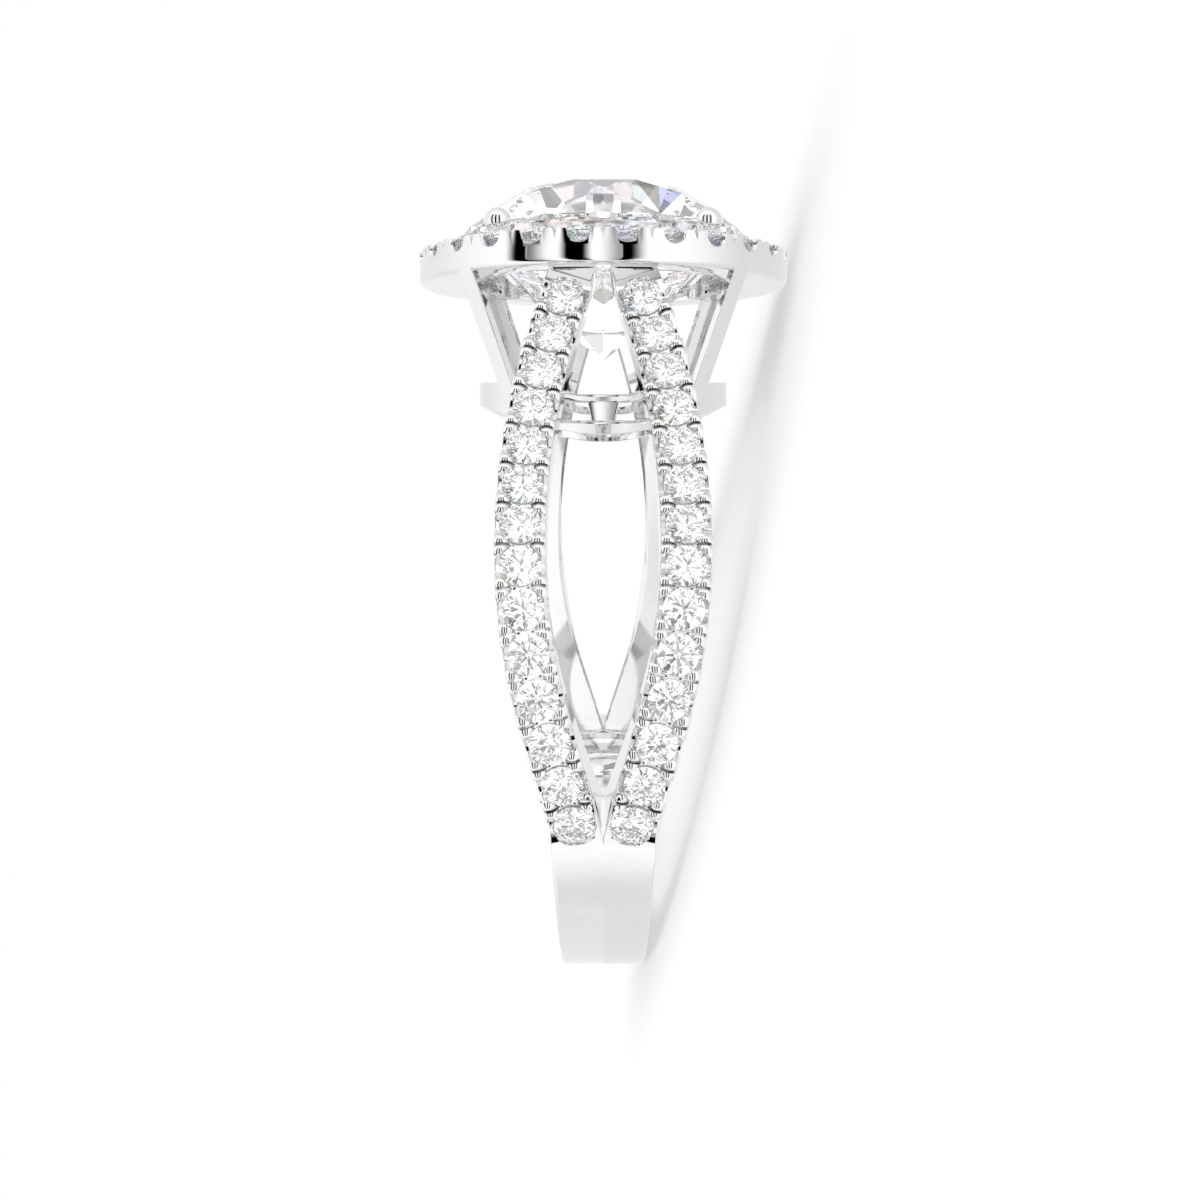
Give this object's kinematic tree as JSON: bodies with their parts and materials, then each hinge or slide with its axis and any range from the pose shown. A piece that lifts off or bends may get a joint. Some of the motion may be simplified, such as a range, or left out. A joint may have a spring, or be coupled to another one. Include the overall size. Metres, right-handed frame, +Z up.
{
  "type": "halo engagement ring",
  "caption": "White metal ring with a split, stone-set shank, an open basket and a round halo of small stones about one large round stone, lying on its side.",
  "frame": {"origin": "on the surface that the ring lies on, below the middle of its bounding box", "axes": "+Z up from the surface, +X towards the head with the large stone, -Y the side that the picture shows; the finger goes through close to Z, leaning 12 degrees from it"},
  "size_m": [0.0259, 0.0206, 0.0121],
  "materials": {
    "ring_metal": "polished",
    "centre_gem": "polished facets",
    "halo_gems": "polished facets",
    "band_gems": "polished facets"
  },
  "bodies": {
    "root": {"ring_body": "ring_metal", "centre_stone": "centre_gem", "halo_stones": "halo_gems", "front_left_stones": "band_gems", "front_right_stones": "band_gems", "rear_left_stones": "band_gems", "rear_right_stones": "band_gems"}
  },
  "joints": []
}
